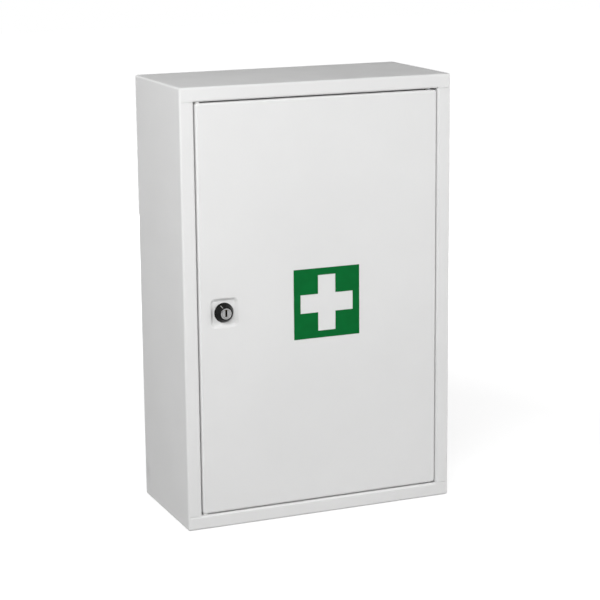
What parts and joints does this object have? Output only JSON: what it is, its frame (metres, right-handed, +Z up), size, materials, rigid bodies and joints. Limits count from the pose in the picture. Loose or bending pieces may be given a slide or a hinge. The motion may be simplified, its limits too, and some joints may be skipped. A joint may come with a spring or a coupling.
{
  "type": "medicine cabinet",
  "caption": "Lockable wall cabinet for medicines: folded steel body, inset door on pivot pins, cam lock in a pressed recess, slotted uprights with shelves, green first-aid sign.",
  "frame": {"origin": "centre of the body's base", "axes": "+Z up, the door and lock face -Y, the back that goes to the wall faces +Y, +X to the right"},
  "size_m": [0.3, 0.1456, 0.46],
  "materials": {
    "white_powder_coat": "fine-textured semi-gloss powder coat on sheet steel",
    "zinc_plate": "bright zinc plate on steel",
    "plug_chrome": "polished plating on a zinc casting",
    "black_lock_finish": "glossy black on a zinc casting",
    "wafer_brass": "plain",
    "nylon": "moulded",
    "buffer_rubber": "matt",
    "sign_film": "cut adhesive film"
  },
  "bodies": {
    "cabinet": {"body_wrap": "white_powder_coat", "top_pan": "white_powder_coat", "bottom_pan": "white_powder_coat", "upper_frame_hinge_plate": "white_powder_coat", "lower_frame_hinge_plate": "white_powder_coat", "upper_hinge_pin": "zinc_plate", "lower_hinge_pin": "zinc_plate", "upper_hinge_spacer": "zinc_plate", "lower_hinge_spacer": "zinc_plate", "left_front_upright": "white_powder_coat", "left_rear_upright": "white_powder_coat", "right_front_upright": "white_powder_coat", "right_rear_upright": "white_powder_coat", "upper_shelf": "white_powder_coat", "lower_shelf": "white_powder_coat", "upper_shelf_clips": "zinc_plate", "lower_shelf_clips": "zinc_plate", "door_buffers": "buffer_rubber"},
    "door": {"door_panel": "white_powder_coat", "upper_door_hinge_plate": "white_powder_coat", "lower_door_hinge_plate": "white_powder_coat", "door_corner_glides": "nylon", "first_aid_sign": "sign_film", "lock_housing": "black_lock_finish", "lock_tooth_washer": "zinc_plate", "lock_nut": "zinc_plate"},
    "lock_plug": {"key_plug": "plug_chrome", "lock_wafers": "wafer_brass", "lock_cam": "zinc_plate", "cam_washer": "zinc_plate", "cam_screw": "zinc_plate"}
  },
  "joints": [
    {"name": "door_hinge", "type": "hinge", "parent": "cabinet", "child": "door", "pos_m": [0.125, -0.0645, 0.2299], "axis": [0, 0, 1], "range_deg": [0, 120]},
    {"name": "key_turn", "type": "hinge", "parent": "door", "child": "lock_plug", "pos_m": [-0.1063, -0.0517, 0.2285], "axis": [0, 1, 0], "range_deg": [0, 90]}
  ]
}
